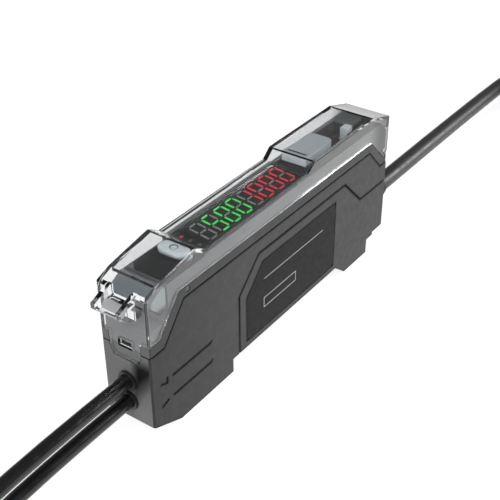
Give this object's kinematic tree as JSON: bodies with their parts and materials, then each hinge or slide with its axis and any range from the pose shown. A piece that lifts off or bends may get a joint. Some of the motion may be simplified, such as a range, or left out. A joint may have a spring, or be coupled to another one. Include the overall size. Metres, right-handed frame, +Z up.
{
  "type": "fibre optic sensor amplifier",
  "caption": "Slim rail-mounted fibre optic sensor amplifier with a clear hinged dust cover, digital display, keys, a fibre lock lever, two fibres and a cable.",
  "frame": {"origin": "middle of the case's footprint, from the cover's beak to the cable end wall, at the underside of the rail feet; the leads aren't counted", "axes": "+X from the fibre end to the cable end, +Y away from the label side, +Z up from the rail"},
  "size_m": [0.3564, 0.0342, 0.032],
  "materials": {
    "case": "fine matt grain",
    "label": "satin film",
    "clear": "clear moulded polycarbonate",
    "grey_key": "satin",
    "lever": "satin",
    "steel": "ground",
    "black_plastic": "moulded",
    "fibre": "polyethylene jacket",
    "cable": "PVC sheath",
    "cores": "PVC insulation",
    "board": "solder mask",
    "switch": "moulded",
    "window": "smoked, polished",
    "digits": "seven segment digits in black",
    "optics": "clear epoxy"
  },
  "bodies": {
    "amplifier": {"cable_boot": "cable", "cable_cores": "cores", "cable_hank": "cable", "cable_lead": "cable", "cable_sheath_end": "cable", "cable_tail": "cable", "controller_chip": "black_plastic", "display_board": "board", "display_window": "window", "emitter_led": "optics", "fibre_holder": "black_plastic", "green_display": "digits", "head_nuts": "steel", "hinge_pin": "steel", "indicator_leds": "digits", "label_plate": "label", "lever_pin": "steel", "link_plug": "black_plastic", "lower_case": "case", "main_board": "board", "mode_switch": "switch", "photodiode": "optics", "preamp_shield": "steel", "receive_bushing": "black_plastic", "receive_fibre": "fibre", "receive_fibre_end": "fibre", "receive_hank": "fibre", "receive_head": "steel", "receive_tail": "fibre", "red_display": "digits", "rocker_switches": "switch", "selector_switch": "switch", "set_switch": "switch", "side_cover": "case", "terminal_block": "black_plastic", "transmit_bushing": "black_plastic", "transmit_fibre": "fibre", "transmit_fibre_end": "fibre", "transmit_hank": "fibre", "transmit_head": "steel", "transmit_tail": "fibre", "upper_case": "case"},
    "dust_cover": {"dust_cover": "clear"},
    "lock_lever": {"lock_lever": "lever"},
    "clamp_slider": {"clamp_slider": "black_plastic"},
    "set_button": {"set_button": "grey_key"},
    "rocker_key": {"rocker_key": "grey_key"},
    "selector_knob": {"selector_knob": "grey_key"},
    "mode_button": {"mode_button": "case"}
  },
  "joints": [
    {"name": "cover_hinge", "type": "hinge", "parent": "amplifier", "child": "dust_cover", "pos_m": [0.0388, 0, 0.0224], "axis": [0, 1, 0], "range_deg": [0, 90]},
    {"name": "lever_pivot", "type": "hinge", "parent": "amplifier", "child": "lock_lever", "pos_m": [-0.02615, 0, 0.0255], "axis": [0, -1, 0], "range_deg": [0, 12]},
    {"name": "clamp_slide", "type": "slide", "parent": "amplifier", "child": "clamp_slider", "axis": [0, 0, -1], "range_m": [0, 0.0004]},
    {"name": "set_press", "type": "slide", "parent": "amplifier", "child": "set_button", "axis": [0, 0, -1], "range_m": [0, 0.0004], "stiffness_N_per_m": 800},
    {"name": "rocker_tilt", "type": "hinge", "parent": "amplifier", "child": "rocker_key", "pos_m": [0.01785, 0, 0.0275], "axis": [0, 1, 0], "range_deg": [-2.5, 2.5], "stiffness_Nm_per_rad": 0.08},
    {"name": "selector_slide", "type": "slide", "parent": "amplifier", "child": "selector_knob", "axis": [-1, 0, 0], "range_m": [0, 0.0025]},
    {"name": "mode_press", "type": "slide", "parent": "amplifier", "child": "mode_button", "axis": [0, 0, -1], "range_m": [0, 0.0004], "stiffness_N_per_m": 800}
  ],
  "couplings": [
    {"joint": "clamp_slide", "follows": "lever_pivot", "m_per_rad": 0.00184}
  ]
}
